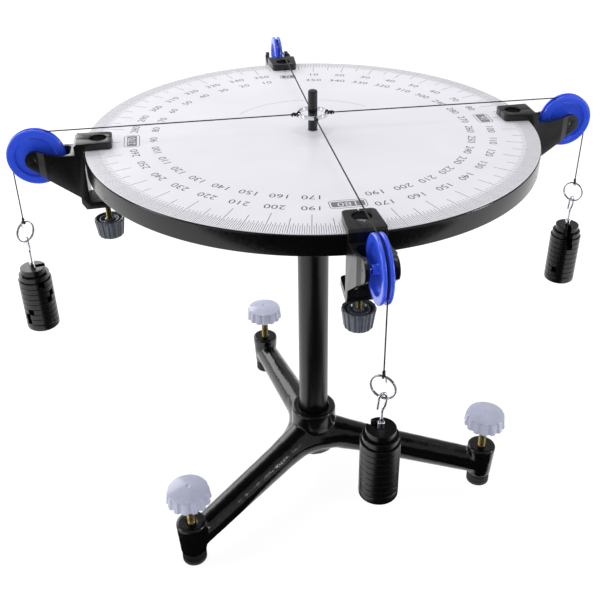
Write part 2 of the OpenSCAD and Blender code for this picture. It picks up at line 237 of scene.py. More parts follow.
def softened(node, finish, body, slotName, edge, bend=0):   # the CAD solid with its edges rounded
    work = cadSolid(node)
    flat = radians(rounding["flat"])
    bmesh.ops.dissolve_limit(work, angle_limit=flat, verts=work.verts, edges=work.edges)
    if bend:   # the long shallow bends too, with a wide radius
        turns = rounding["shallow"], rounding["sharp"]
        roundEdges(work, bend, rounding["bendSteps"], *turns, rounding["bendLength"])
    roundEdges(work, edge, rounding["steps"], rounding["sharp"])
    name = node + "_soft"
    return addPiece(name, toMesh(work, name), finish, body, slotName, node)


def standing(azimuth, reach=0, height=0, lean=0):   # moved out and up along an azimuth, leaning outwards
    place = Matrix.Rotation(radians(azimuth), 4, "Z") @ Matrix.Translation((reach, 0, height))
    return place @ Matrix.Rotation(radians(lean), 4, "Y")


def atJoint(name):   # the joint's place, with Y along its axis and Z up
    joint = joints[name]
    along = Vector(joint["axis"])
    out = along.cross(Vector((0, 0, 1)))
    place = Matrix((out, along, (0, 0, 1))).transposed().to_4x4()
    place.translation = Vector(joint["pos_m"]) / mm
    return place


def station(mark, reach=0):   # a clamp's own frame, out along the line to its pulley
    x, y, z = joints[f"pulley_spin_{mark}"]["pos_m"]
    return standing(degrees(atan2(y, x)), reach)


def corners(node):   # a CAD node's lowest and highest corner, in millimetres
    low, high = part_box(node)
    return low / mm, high / mm


# Finishes

def linear(hexColour):
    channels = [int(hexColour[i:i + 2], 16) / 255 for i in (1, 3, 5)]
    return [c / 12.92 if c <= 0.04045 else ((c + 0.055) / 1.055) ** 2.4 for c in channels] + [1]


def addNode(tree, kind, values={}, links={}, **settings):
    node = tree.nodes.new(kind)
    for name, value in settings.items():
        setattr(node, name, value)
    for socket, value in values.items():
        node.inputs[socket].default_value = value
    for socket, source in links.items():
        tree.links.new(source, node.inputs[socket])
    return node


def newFinish(name, values):   # a material with its shader and the object's own coordinates
    finish = bpy.data.materials.new(name)
    finish.use_nodes = True
    tree = finish.node_tree
    shader = tree.nodes["Principled BSDF"]
    for socket, value in values.items():
        shader.inputs[socket].default_value = value
    place = addNode(tree, "ShaderNodeTexCoord").outputs["Object"]
    return finish, tree, shader, place


def grain(tree, place, size, detail=2.0, stretch=(1, 1, 1)):   # noise whose lumps are size mm across
    scaled = addNode(tree, "ShaderNodeMapping", {"Scale": stretch}, {"Vector": place}).outputs[0]
    kind = {"Scale": 1 / (size * mm), "Detail": detail}
    return addNode(tree, "ShaderNodeTexNoise", kind, {"Vector": scaled}).outputs["Fac"]


def spread(tree, value, low, high):   # maps the noise's middle range to low...high
    middle = {"From Min": 0.3, "From Max": 0.7, "To Min": low, "To Max": high}
    return addNode(tree, "ShaderNodeMapRange", middle, {"Value": value}).outputs["Result"]


def tint(tree, shader, value, dark, light):   # the colour, from dark to light as the noise rises
    ends = {6: linear(dark), 7: linear(light)}
    colours = addNode(tree, "ShaderNodeMix", ends, {0: spread(tree, value, 0, 1)}, data_type="RGBA")
    tree.links.new(colours.outputs[2], shader.inputs["Base Color"])


def roughen(tree, shader, value, low, high):
    tree.links.new(spread(tree, value, low, high), shader.inputs["Roughness"])


def relief(tree, shader, *layers):   # layers: (height, depth in mm)
    normal = None
    for height, depth in layers:
        links = {"Height": height}
        if normal:
            links["Normal"] = normal
        normal = addNode(tree, "ShaderNodeBump", {"Distance": depth * mm}, links).outputs[0]
    tree.links.new(normal, shader.inputs["Normal"])


def enamel(name, dark, light, roughness, lumps, depth):   # brushed or sprayed paint: gloss, slight waves
    finish, tree, shader, place = newFinish(name, {"IOR": 1.5, "Specular IOR Level": 0.5})
    wide = grain(tree, place, lumps)
    fine = grain(tree, place, lumps / 6, 3)
    tint(tree, shader, wide, dark, light)
    roughen(tree, shader, fine, *roughness)
    relief(tree, shader, (wide, depth), (fine, depth / 5))
    return finish


def moulding(name, dark, light, roughness, grit, depth):   # moulded ABS: even colour, fine eroded texture
    finish, tree, shader, place = newFinish(name, {"IOR": 1.53})
    cloud = grain(tree, place, 9)
    skin = grain(tree, place, grit, 4)
    tint(tree, shader, cloud, dark, light)
    roughen(tree, shader, skin, *roughness)
    relief(tree, shader, (skin, depth))
    return finish


def plating(name, colour, roughness, scratch, depth):   # bright plate or bare metal with polishing lines
    finish, tree, shader, place = newFinish(name, {"Base Color": linear(colour), "Metallic": 1})
    lines = grain(tree, place, scratch, 2, (1, 1, 4))
    roughen(tree, shader, lines, *roughness)
    relief(tree, shader, (lines, depth))
    return finish


def turnedBrass(name, clean, dull):   # brass rod, cut on a lathe and handled: yellow crests, browner roots
    finish, tree, shader, place = newFinish(name, {"Metallic": 1})
    handled = grain(tree, place, 4, 3)
    cuts = grain(tree, place, 0.5, 1, (0.1, 0.1, 1))
    tint(tree, shader, handled, dull, clean)
    roughen(tree, shader, handled, 0.42, 0.24)
    relief(tree, shader, (cuts, 0.02))
    return finish


def laminate(name, dark, light):   # printed card under clear film: even white with a soft sheen
    finish, tree, shader, place = newFinish(name, {"IOR": 1.5, "Coat Weight": 0.35, "Coat Roughness": 0.12})
    cloud = grain(tree, place, 60)
    film = grain(tree, place, 3, 3)
    tint(tree, shader, cloud, dark, light)
    roughen(tree, shader, film, 0.36, 0.46)
    relief(tree, shader, (film, 0.004))
    return finish


def ink(name, colour, roughness):   # printing ink: the film's own sheen over a flat colour
    finish, tree, shader, place = newFinish(name, {"Base Color": linear(colour), "IOR": 1.5})
    film = grain(tree, place, 0.6, 3)
    roughen(tree, shader, film, roughness, roughness + 0.1)
    return finish


def rubberSkin(name, dark, light):   # moulded rubber: matt, with a dusty bloom
    finish, tree, shader, place = newFinish(name, {"IOR": 1.52})
    bloom = grain(tree, place, 2.5, 4)
    tint(tree, shader, bloom, dark, light)
    roughen(tree, shader, bloom, 0.62, 0.82)
    relief(tree, shader, (grain(tree, place, 0.3, 2), 0.02))
    return finish


def waxedCotton(name, dark, light):   # twisted cotton drawn through wax: matt, with dull fibres
    finish, tree, shader, place = newFinish(name, {"Roughness": 0.7, "Sheen Weight": 0.25, "IOR": 1.45})
    fibres = grain(tree, place, 0.25, 4)
    tint(tree, shader, fibres, dark, light)
    relief(tree, shader, (fibres, 0.05))
    return finish


finishes = {
    # the enamels, by surface: lumpy and wet; near mirror-flat; a broad highlight; dipped, with wet edges
    "castEnamel": enamel("enamel_on_sand_casting", "#060607", "#0B0B0C", (0.1, 0.2), 1.7, 0.1),
    "discEnamel": enamel("sprayed_enamel", "#050506", "#09090A", (0.14, 0.24), 14, 0.03),
    "tubeEnamel": enamel("satin_enamel_on_tube", "#050606", "#0A0A0A", (0.28, 0.38), 10, 0.03),
    "massEnamel": enamel("satin_enamel_on_steel", "#050506", "#0A0A0B", (0.2, 0.32), 3, 0.02),
    "pinBlack": enamel("blackened_steel", "#0B0B0D", "#131316", (0.16, 0.28), 5, 0.01),   # oiled, polished
    "screwBlack": enamel("black_oxide", "#121213", "#1C1C1D", (0.38, 0.5), 2, 0.02),
    "clampPlastic": moulding("abs_charcoal", "#060708", "#0B0C0E", (0.24, 0.34), 0.5, 0.015),   # satin
    "clampKnobPlastic": moulding("abs_grey", "#50555F", "#5A5F6A", (0.14, 0.24), 0.6, 0.006),
    "levelKnobPlastic": moulding("abs_blue_grey", "#BDC1D8", "#C7CAE0", (0.15, 0.22), 0.6, 0.006),
    "pulleyPlastic": moulding("abs_royal_blue", "#3458F0", "#3A5FF5", (0.1, 0.18), 0.8, 0.004),   # glossy
    "brass": turnedBrass("brass_rod", "#9C8E60", "#584E30"),
    "chrome": plating("chrome_plate", "#DDE1E6", (0.06, 0.14), 0.6, 0.004),   # sharp black and white
    "springSteel": plating("bright_spring_wire", "#9A9CA2", (0.14, 0.24), 0.4, 0.01),
    "axleSteel": plating("ground_steel", "#C4C5C8", (0.16, 0.26), 0.4, 0.006),
    "dialWhite": laminate("printed_laminate", "#EAE9F1", "#EFEEF5"),
    "dialInk": ink("black_ink", "#2A2A2E", 0.4),
    "dialGrey": ink("grey_ink", "#77777C", 0.4),
    "dialPaper": ink("bare_paper", "#E6E6EC", 0.4),
    "rubber": rubberSkin("moulded_rubber", "#121212", "#1B1B1B"),
    "cotton": waxedCotton("waxed_cotton", "#080706", "#1A1512"),
}
print("finishes made:", len(finishes))


# Stand

castBase = {
    "fillet": 70, "legHalf": 16, "web": 13.5, "webHeight": 43.5, "webReach": 36, "webTaper": 0.2,
    "voxel": 1.1, "fettling": 11, "lump": 7.0, "lumpDepth": 0.14, "grit": 1.8, "gritDepth": 0.04,
}


def legWeb():   # a rounded web that bends from one leg to the next, its ends sunk in the legs
    reach = (castBase["fillet"] + castBase["legHalf"]) / sin(radians(60))
    half = castBase["webReach"]
    bend = arc((reach, 0), castBase["fillet"] + castBase["web"], 180 + half, 180 - half, 36)
    middle = [(x, y, castBase["webHeight"]) for x, y in bend]
    return swept(middle, roundOutline(castBase["web"], 24), taper=castBase["webTaper"])


def castTripod():   # the machined solid, blended at its joins as a sand casting is, with a lumpy skin
    work = cadSolid("tripod_base")
    for leg in legs:
        addFaces(work, moved(legWeb(), standing(leg + 60)))
    source = newObject("tripod_source", toMesh(work, "tripod_source"))
    sand = source.modifiers.new("sand", "REMESH")
    sand.mode = "VOXEL"
    sand.voxel_size = castBase["voxel"] * mm
    fettled = source.modifiers.new("fettled", "SMOOTH")
    fettled.factor = 0.5
    fettled.iterations = castBase["fettling"]
    mesh = evaluated(source)
    normals = [vertex.normal.copy() for vertex in mesh.vertices]
    for vertex, normal in zip(mesh.vertices, normals):
        wide = noise.noise(vertex.co / (castBase["lump"] * mm)) * castBase["lumpDepth"]
        fine = noise.noise(vertex.co / (castBase["grit"] * mm)) * castBase["gritDepth"]
        vertex.co += normal * (wide + fine) * mm
    mesh.name = "tripod_casting"
    addPiece("tripod_casting", mesh, "castEnamel", "stand", "tripod_enamel", "tripod_base", crease=180)


tube = {"crown": 0.6, "steps": 160}


def columnTube():
    low, high = corners("column")
    radius, turn = (high.x - low.x) / 2, tube["crown"]
    profile = [(0, low.z)] + arc((radius - turn, low.z + turn), turn, -90, 0, 4)
    profile += arc((radius - turn, high.z - turn), turn, 0, 90, 4) + [(0, high.z)]
    addShape("column_tube", turned(profile, tube["steps"]), "tubeEnamel", "stand", "column_black",
             "column")


disc = {
    "boss": 32, "bossLow": 350, "socket": 368.5, "columnBore": 15.25, "web": 5, "rim": 28, "rimDeep": 17.4,
    "edgeRound": 1.4, "bossRound": 2, "rimFillet": 3, "bossFillet": 4, "pinBore": 4.25, "pinFloor": 372.5,
    "steps": 320,
}


def tableDisc():   # the cast disc with its turned edge rounded over
    high = corners("table_disc")[1]
    edge, top = high.x, high.z
    rimLow, rimIn = top - disc["rimDeep"], edge - disc["rim"]
    boss, bossLow, under = disc["boss"], disc["bossLow"], top - disc["web"]
    turn, bossTurn = disc["edgeRound"], disc["bossRound"]
    fillet, bossFillet = disc["rimFillet"], disc["bossFillet"]
    profile = [(0, disc["pinFloor"]), (disc["pinBore"], disc["pinFloor"]), (disc["pinBore"], top)]
    profile += arc((edge - turn, top - turn), turn, 90, 0, 6)
    profile += arc((edge - turn, rimLow + turn), turn, 0, -90, 6)
    profile += arc((rimIn + turn, rimLow + turn), turn, -90, -180, 4)
    profile += [(rimIn, under - fillet)] + arc((rimIn - fillet, under - fillet), fillet, 0, 90, 4)
    profile += arc((boss + bossFillet, under - bossFillet), bossFillet, 90, 180, 4)
    profile += arc((boss - bossTurn, bossLow + bossTurn), bossTurn, 0, -90, 4)
    profile += [(disc["columnBore"], bossLow), (disc["columnBore"], disc["socket"]), (0, disc["socket"])]
    addShape("table_casting", turned(profile, disc["steps"]), "discEnamel", "stand", "disc_enamel",
             "table_disc")


setScrew = {
    "radius": 3, "azimuth": 160, "hex": 1.5, "sunk": 2.2, "chamfer": 0.5, "point": 0.6, "start": 15.25,
    "heights": {"hub": 67, "table": 359}, "ends": {"hub": 22.5, "table": 23.2},
}


def hexSocket(reach, height, turn):   # the sunk hole is a hexagon, the rest is round
    if reach > setScrew["hex"]:
        return reach
    return reach / cos((turn + pi / 6) % (pi / 3) - pi / 6)


def setScrews():   # socket set screws: a hexagon sunk in the outer end
    radius, across, chamfer, point = (setScrew[key] for key in ("radius", "hex", "chamfer", "point"))
    for name in ("hub", "table"):
        length = setScrew["ends"][name] - setScrew["start"]
        sunk = length - setScrew["sunk"]
        profile = [(0, sunk), (across, sunk), (across, length), (radius - chamfer, length),
                   (radius, length - chamfer), (radius, point), (radius - point, 0), (0, 0)]
        place = standing(setScrew["azimuth"], setScrew["start"], setScrew["heights"][name], 90)
        nodes = ("set_screws",) if name == "hub" else ()
        addShape(f"set_screw_{name}", moved(turned(profile, 72, shape=hexSocket), place), "screwBlack",
                 "stand", "set_screw_steel", *nodes)


castTripod()
columnTube()
tableDisc()
setScrews()
print("stand made")


# Dial: the print is thin raised ink, so that it stays crisp from any side

dial = {
    "radius": 199.3, "top": 395, "thick": 0.8, "edge": 0.25, "pinHole": 4.45, "ink": 0.03,
    "tickIn": {20: 169.5, 10: 176, 2: 183.5, 1: 187},   # by the step in half degrees, the longest first
    "tickOut": 199.0, "tickWidth": 0.32, "tickLongWidth": 0.42,
    "arc": 79, "arcWidth": 0.4, "arcReach": 50,
    "outerRow": 158.8, "innerRow": 140.3,
    "digits": 6.9, "fontSize": 1.38,   # the digits' height, and the font's size over it
    "digitStretch": 1.19, "digitThin": 0.07,
    "quarterRow": {0: 154, 90: 159.5, 180: 154, 270: 159.5},
    "quarterWidth": {0: 12.5, 90: 19, 180: 25.5, 270: 23.5}, "quarterRaised": 2.4,
    "plateHeight": 8.6, "plateCorner": 1.2,
    "frameHeight": 13.5, "frameGap": 1.7, "frameCorner": 3.2, "frameWidth": 0.5,
}


def dialPlate():
    top, radius, hole, edge = dial["top"], dial["radius"], dial["pinHole"], dial["edge"]
    low = top - dial["thick"]
    profile = [(hole, top), (radius - edge, top), (radius, top - edge), (radius, low), (hole, low)]
    addShape("dial_laminate", turned(profile, 320, loop=True), "dialWhite", "stand", "dial_print",
             "dial_plate")


def onDial(mark, reach, height=0):   # upright at a mark, its top outwards
    return Matrix.Rotation(-radians(mark), 4, "Z") @ Matrix.Translation((0, reach, height))


def printed(outline):   # a flat outline as a layer of ink
    return slab(outline, dial["top"] - dial["ink"], dial["top"] + dial["ink"])


def bar(inner, outer, width, mark):   # one radial mark
    outline = [(inner, -width / 2), (outer, -width / 2), (outer, width / 2), (inner, width / 2)]
    return moved(printed(outline), standing(90 - mark))


def arcLine(radius, width, start, end, steps=80):
    outer = arc((0, 0), radius + width / 2, start, end, steps)
    return printed(outer + arc((0, 0), radius - width / 2, end, start, steps))


def digits(text, radius, mark, raised=1):   # a number whose top faces outwards
    curve = bpy.data.curves.new("number", "FONT")
    curve.body = text
    curve.size = dial["digits"] * dial["fontSize"] * mm
    curve.align_x = curve.align_y = "CENTER"
    curve.extrude = dial["ink"] * mm
    curve.offset = -dial["digitThin"] * mm
    curve.resolution_u = 3
    mesh = evaluated(newObject("number", curve))
    place = onDial(mark, radius, dial["top"] + (raised - 1) * dial["ink"])
    place @= Matrix.Diagonal((dial["digitStretch"], 1, 1, 1))
    shape = [v.co / mm for v in mesh.vertices], [tuple(f.vertices) for f in mesh.polygons]
    return moved(shape, place)


def quarterPlate(mark):
    outline = roundRect(dial["quarterWidth"][mark], dial["plateHeight"], dial["plateCorner"])
    return moved(printed(outline), onDial(mark, dial["quarterRow"][mark]))


def quarterFrame(mark):   # a thin line round the quarter mark's plate
    top, rise, line = dial["top"], dial["ink"], dial["frameWidth"]
    width, height = dial["quarterWidth"][mark] + 2 * dial["frameGap"], dial["frameHeight"]
    outer = roundRect(width, height, dial["frameCorner"])
    inner = roundRect(width - 2 * line, height - 2 * line, dial["frameCorner"] - line)
    rings = [(outer, top - rise), (outer, top + rise), (inner, top + rise), (inner, top - rise)]
    vertices = [(x, y, z) for outline, z in rings for x, y in outline]
    return moved((vertices, banded(4, len(outer), loop=True)), onDial(mark, dial["quarterRow"][mark]))


def dialMarks():   # one every half degree
    marks = []
    for halves in range(720):
        kind = next(step for step in dial["tickIn"] if halves % step == 0)
        width = dial["tickLongWidth"] if kind > 2 else dial["tickWidth"]
        marks.append(bar(dial["tickIn"][kind], dial["tickOut"], width, halves / 2))
    addShape("dial_marks", joined(*marks), "dialInk", "stand", "dial_print")


def dialNumbers():   # two rows that count opposite ways, and framed quarters
    rows = []
    for mark in range(0, 360, 10):
        if mark % 90:
            rows.append(digits(str(mark), dial["outerRow"], mark))
            rows.append(digits(str(360 - mark), dial["innerRow"], mark))
        else:
            rows.append(quarterFrame(mark))
            if mark % 180:
                rows.append(digits(str(360 - mark), dial["innerRow"], mark))
    addShape("dial_numbers", joined(*rows), "dialInk", "stand", "dial_print", crease=20)
    plates = [quarterPlate(mark) for mark in dials]
    plates.append(arcLine(dial["arc"], dial["arcWidth"], 90 - dial["arcReach"], 90 + dial["arcReach"]))
    addShape("dial_plates", joined(*plates), "dialGrey", "stand", "dial_print", crease=20)
    quarters = [digits(str(mark), dial["quarterRow"][mark], mark, dial["quarterRaised"]) for mark in dials]
    addShape("dial_quarters", joined(*quarters), "dialPaper", "stand", "dial_print", crease=20)


dialPlate()
dialMarks()
dialNumbers()
print("dial printed")


# Centre

centre = {"pinRound": 0.7, "pinDimple": 0.8, "ringRound": 0.35, "ringWall": 1.6}


def centrePin():
    low, high = corners("centre_pin")
    radius, turn = high.x, centre["pinRound"]
    profile = [(0, low.z), (radius, low.z), (radius, high.z - turn), (radius - turn, high.z)]
    profile += [(centre["pinDimple"], high.z), (0, high.z - centre["pinDimple"] / 2)]
    addShape("pin_turned", turned(profile, 72), "pinBlack", "pin", "pin_black", "centre_pin", crease=30)


def centreRing():
    low, high = corners("centre_ring")
    outer, turn = high.x, centre["ringRound"]
    inner = outer - centre["ringWall"]
    profile = arc((outer - turn, high.z - turn), turn, 0, 90, 4)
    profile += arc((inner + turn, high.z - turn), turn, 90, 180, 4)
    profile += arc((inner + turn, low.z + turn), turn, 180, 270, 4)
    profile += arc((outer - turn, low.z + turn), turn, 270, 360, 4)
    addShape("ring_plated", turned(profile, 128, loop=True), "chrome", "ring", "ring_chrome",
             "centre_ring")


centrePin()
centreRing()
print("centre made")


# Feet

foot = {
    "reach": 183.5, "rod": 4, "bore": 4.05, "pitch": 1.25, "threadDepth": 0.68, "screwSteps": 32,
    "skirt": 21.5, "skirtLow": 79, "side": 13, "flare": 1.6, "cap": 18.9, "capRadius": 50, "crown": 96.5,
    "lobes": 14, "lobeCut": 2.9, "lobeOut": 1.0, "lobeSoft": 0.12, "boreDeep": 12,
    # the open underside: (radius, height) round the boss, then (in from the skirt's side, height) to its lip
    "boss": ((4.05, 1.6), (4.6, 1), (7, 1), (7.5, 1.5), (7.5, 8), (8.5, 9)),
    "hollow": ((7, 9), (5.6, 8), (4.6, 1), (4.2, 0), (1.2, 0), (0.4, 0.4), (0, 1.2)),
    "dimple": ((2.6, 0), (2.2, 0.1), (1.4, 0.5), (0, 0.6)),   # (radius, depth) in the middle of the cap
    "pad": 12, "padRound": 1.2, "padGroove": ((0, 4.4), (0.5, 4.9), (0.5, 5.5), (0, 6.0)), "padFloor": 3.7,
}
screwThread = {"rows": 8, "slope": 1.3, "crest": 0.12, "runOut": 0.6}   # rows a turn, and shares of the depth


def threaded(radius, low, high, pitch, depth, steps):   # a rod with a true helical thread
    rows = int((high - low) / pitch * screwThread["rows"])
    profile = [(0, low)] + [(radius, low + (high - low) * i / rows) for i in range(rows + 1)] + [(0, high)]

    def thread(reach, height, turn):
        phase = ((height - low) / pitch - turn / (2 * pi)) % 1
        fade = min(1, (height - low) / pitch, (high - height) / pitch)   # runs out at both ends
        cut = min(1, max(0, abs(2 * phase - 1) * screwThread["slope"] - screwThread["crest"]))
        return reach - depth * (cut * fade + screwThread["runOut"] * (1 - fade))

    return turned(profile, steps, shape=thread)


def scallop(side, turn, count, radius, out):   # how deep round cutters bite, their centres out from the side
    step = 2 * pi / count
    across = side * ((turn + step / 2) % step - step / 2)
    return sqrt(max(0, radius ** 2 - across ** 2)) - out


def eased(depth, softness):   # no bite where the depth is negative, with a rounded shoulder between
    return 0.5 * (depth + sqrt(depth * depth + softness))


def levelKnob(leg):   # lobed skirt and shallow dome, hollow below round its threaded boss
    low, top, side = foot["skirtLow"], foot["crown"], foot["skirt"]
    cap, capHigh, flare = foot["cap"], low + foot["side"], foot["flare"]
    boreTop = low + foot["boreDeep"]
    profile = [(foot["bore"], boreTop)] + [(radius, low + up) for radius, up in foot["boss"]]
    profile += [(side - inset, low + up) for inset, up in foot["hollow"]]
    profile += [(side - flare * i / 6, low + 1.2 + (foot["side"] - 2) * i / 6) for i in range(1, 7)]
    profile += [(cap + 0.35, capHigh - 0.1), (cap, capHigh + 0.15)]
    bulge = foot["capRadius"]
    dome = [cap * (1 - i / 12) for i in range(11)]
    profile += [(radius, top - bulge + sqrt(bulge ** 2 - radius ** 2)) for radius in dome]
    profile += [(radius, top - deep) for radius, deep in foot["dimple"]]

    def lobes(reach, height, turn):
        fade = min(1, max(0, (reach - cap) / (side - flare - cap)))   # none inside the cap
        cut = scallop(side, turn, foot["lobes"], foot["lobeCut"], foot["lobeOut"])
        return reach - eased(cut, foot["lobeSoft"]) * fade

    steps = foot["lobes"] * 24
    boreEnd = turned([(foot["bore"], boreTop), (0, boreTop)], steps)   # the bore is blind
    shape = joined(turned(profile, steps, shape=lobes), boreEnd)
    addShape(f"level_knob_{leg}_moulding", moved(shape, standing(leg, foot["reach"])), "levelKnobPlastic",
             f"leveller_{leg}", "level_knob_blue_grey", f"level_knob_{leg}", crease=50)


def levelScrew(leg):
    low, high = corners(f"level_screw_{leg}")
    rod = threaded(foot["rod"], low.z, high.z, foot["pitch"], foot["threadDepth"], foot["screwSteps"])
    addShape(f"level_screw_{leg}_thread", moved(rod, standing(leg, foot["reach"])), "brass",
             f"leveller_{leg}", "screw_brass", f"level_screw_{leg}", crease=60)


def footPad(leg):   # with a moulding groove round it and a blind hole for the screw
    top = corners(f"foot_pad_{leg}")[1].z
    outer, turn, hole, floor = foot["pad"], foot["padRound"], foot["bore"], foot["padFloor"]
    profile = [(0, 0), (outer - turn, 0)] + arc((outer - turn, turn), turn, -90, 0, 4)[1:]
    profile += [(outer - inset, height) for inset, height in foot["padGroove"]]
    profile += arc((outer - turn, top - turn), turn, 0, 90, 4) + [(hole, top), (hole, floor), (0, floor)]
    addShape(f"foot_pad_{leg}_rubber", moved(turned(profile, 96), standing(leg, foot["reach"])), "rubber",
             f"foot_{leg}", "foot_rubber", f"foot_pad_{leg}")


for leg in legs:
    levelKnob(leg)
    levelScrew(leg)
    footPad(leg)
print("feet made")


# Clamps and pulleys

clamp = {
    "edge": 0.55, "bend": 2.4, "reach": 187.5, "rod": 2.5, "pitch": 0.8, "threadDepth": 0.45,
    "nose": 1.5, "noseLong": 1.6, "noseChamfer": 0.3,   # the screw's end, inside the pad
    "pad": 4.5, "padBore": 1.55, "padBoreDeep": 1.6, "padRound": 0.4,
    "axle": 1, "axleHalf": 11.8, "axleChamfer": 0.2,
}
knob = {
    "wide": 13.5, "narrow": 11.6, "round": 2.4, "bore": 2.55, "boreDeep": 14.6, "steps": 20,
    # the open end, (radius, depth) from the lip inwards: trough, raised ring, trough, boss
    "mouth": ((11.9, 0), (11.3, 0.4), (11.0, 3.6), (10.6, 4), (9.4, 4), (9, 3.6), (8.9, 1.0), (8.5, 0.6),
              (7.9, 0.6), (7.5, 1.0), (7.2, 2.7), (6.8, 3), (4.7, 3), (4.3, 2.7), (4.2, 0.8), (3.8, 0.4)),
    "flutes": 16, "fluteCut": 1.55, "fluteOut": 0.4, "fluteSoft": 0.04,
    "fluteFrom": 9.3, "fluteIn": 2.2, "fluteFade": 1.6,   # they start over the outer trough and fade inwards
}
wheel = {
    "radius": 24.5, "flange": 1.5, "groove": 1.0, "grooveFloor": 20.7, "dish": 17, "web": 1.6, "hub": 3.5,
    "hubHalf": 5.7, "bore": 1.05, "boreChamfer": 0.2, "hubRound": 0.4, "hubFillet": 0.8, "dishFillet": 1.0,
    "dishDraft": 1.3, "dishRound": 0.4, "grooveRound": 0.3, "steps": 160,
}


def clampScrew(mark):
    low, high = corners(f"clamp_screw_{mark}")
    nose, chamfer, shoulder = clamp["nose"], clamp["noseChamfer"], high.z - clamp["noseLong"]
    rod = threaded(clamp["rod"], low.z, shoulder, clamp["pitch"], clamp["threadDepth"], 24)
    sunk = shoulder - 0.2   # the nose starts inside the rod
    tip = [(0, sunk), (nose, sunk), (nose, high.z - chamfer), (nose - chamfer, high.z), (0, high.z)]
    shape = joined(rod, turned(tip, 24))
    addShape(f"clamp_screw_{mark}_thread", moved(shape, station(mark, clamp["reach"])), "brass",
             f"clamp_turner_{mark}", "screw_brass", f"clamp_screw_{mark}", crease=60)


def clampKnob(mark):   # fluted cup with a sunk ring round the screw's boss
    low, high = corners(f"clamp_knob_{mark}")
    bottom, top = low.z, high.z
    wide, narrow, soft = knob["wide"], knob["narrow"], knob["round"]
    tall = top - bottom - soft
    profile = [(0, bottom + 0.3), (5, bottom + 0.2)] + arc((narrow - soft, bottom + soft), soft, -90, 0, 8)
    profile += [(narrow + (wide - narrow) * i / 8, bottom + soft + (tall - 1) * i / 8) for i in range(1, 9)]
    profile += [(wide - 0.3, top - 0.3), (wide - 0.9, top)]
    profile += [(radius, top - deep) for radius, deep in knob["mouth"]]
    boreLow = top - knob["boreDeep"]
    profile += [(knob["bore"], top - knob["mouth"][-1][1]), (knob["bore"], boreLow), (0, boreLow)]

    def flutes(reach, height, turn):
        side = narrow + (wide - narrow) * (height - bottom - soft) / tall
        if reach <= knob["fluteFrom"] or (height > top - 0.35 and reach < wide - 0.6):   # inside, and the lip
            return reach
        fade = min(1, max(0, (reach - side + knob["fluteIn"]) / knob["fluteFade"]))
        cut = scallop(side, turn, knob["flutes"], knob["fluteCut"], knob["fluteOut"]) + min(0, reach - side)
        return reach - eased(cut, knob["fluteSoft"]) * fade

    shape = turned(profile, knob["flutes"] * knob["steps"], shape=flutes)
    addShape(f"clamp_knob_{mark}_moulding", moved(shape, station(mark, clamp["reach"])),
             "clampKnobPlastic", f"clamp_turner_{mark}", "clamp_knob_grey", f"clamp_knob_{mark}",
             crease=50)


def clampPad(mark):
    low, high = corners(f"clamp_pad_{mark}")
    outer, turn, bore = clamp["pad"], clamp["padRound"], clamp["padBore"]
    boreTop = low.z + clamp["padBoreDeep"]
    profile = [(0, boreTop), (bore, boreTop), (bore, low.z), (outer - turn, low.z)]
    profile += arc((outer - turn, low.z + turn), turn, -90, 0, 3)[1:]
    profile += arc((outer - turn, high.z - turn), turn, 0, 90, 3) + [(0, high.z)]
    addShape(f"clamp_pad_{mark}_turned", moved(turned(profile, 48), station(mark, clamp["reach"])),
             "axleSteel", f"thrust_{mark}", "thrust_pad_steel", f"clamp_pad_{mark}")


def aroundAxle(mark):   # the pulley's centre, with Z along its axle
    return atJoint(f"pulley_spin_{mark}") @ Matrix.Rotation(radians(-90), 4, "X")


def pulleyWheel(mark):   # dished sides, full-round flanges and a narrow groove for the thread
    face = wheel["groove"] + 2 * wheel["flange"]
    web, dish, hub, hubHalf, bore = (wheel[key] for key in ("web", "dish", "hub", "hubHalf", "bore"))
    hubTurn, hubFillet, dishFillet = wheel["hubRound"], wheel["hubFillet"], wheel["dishFillet"]
    dishTurn, grooveTurn = wheel["dishRound"], wheel["grooveRound"]
    half = [(bore, hubHalf - wheel["boreChamfer"]), (bore + wheel["boreChamfer"], hubHalf)]
    half += arc((hub - hubTurn, hubHalf - hubTurn), hubTurn, 90, 0, 3)
    half += arc((hub + hubFillet, web + hubFillet), hubFillet, 180, 270, 4)
    half += arc((dish - dishFillet, web + dishFillet), dishFillet, -90, -15, 4)
    half += arc((dish + wheel["dishDraft"], face - dishTurn), dishTurn, 165, 90, 3)
    rim = (wheel["radius"] - wheel["flange"], wheel["groove"] + wheel["flange"])
    half += arc(rim, wheel["flange"], 90, -90, 14)
    floor = (wheel["grooveFloor"] + grooveTurn, wheel["groove"] - grooveTurn)
    half += arc(floor, grooveTurn, 90, 180, 2)[1:]
    profile = half + [(radius, -height) for radius, height in reversed(half)]
    shape = turned(profile, wheel["steps"], loop=True)
    addShape(f"pulley_{mark}_wheel", moved(shape, aroundAxle(mark)), "pulleyPlastic", f"wheel_{mark}",
             "pulley_blue", f"pulley_{mark}", crease=30)


def pulleyAxle(mark):
    radius, half, chamfer = clamp["axle"], clamp["axleHalf"], clamp["axleChamfer"]
    profile = [(0, -half), (radius - chamfer, -half), (radius, -half + chamfer), (radius, half - chamfer),
               (radius - chamfer, half), (0, half)]
    addShape(f"pulley_axle_{mark}_pin", moved(turned(profile, 32), aroundAxle(mark)), "axleSteel",
             f"clamp_{mark}", "axle_steel", f"pulley_axle_{mark}")


for mark in dials:
    softened(f"clamp_body_{mark}", "clampPlastic", f"clamp_{mark}", "clamp_black", clamp["edge"],
             clamp["bend"])
    clampScrew(mark)
    clampKnob(mark)
    clampPad(mark)
    pulleyWheel(mark)
    pulleyAxle(mark)
print("clamps and pulleys made")


# Threads: three-ply cotton, tied to the centre ring and to the split ring

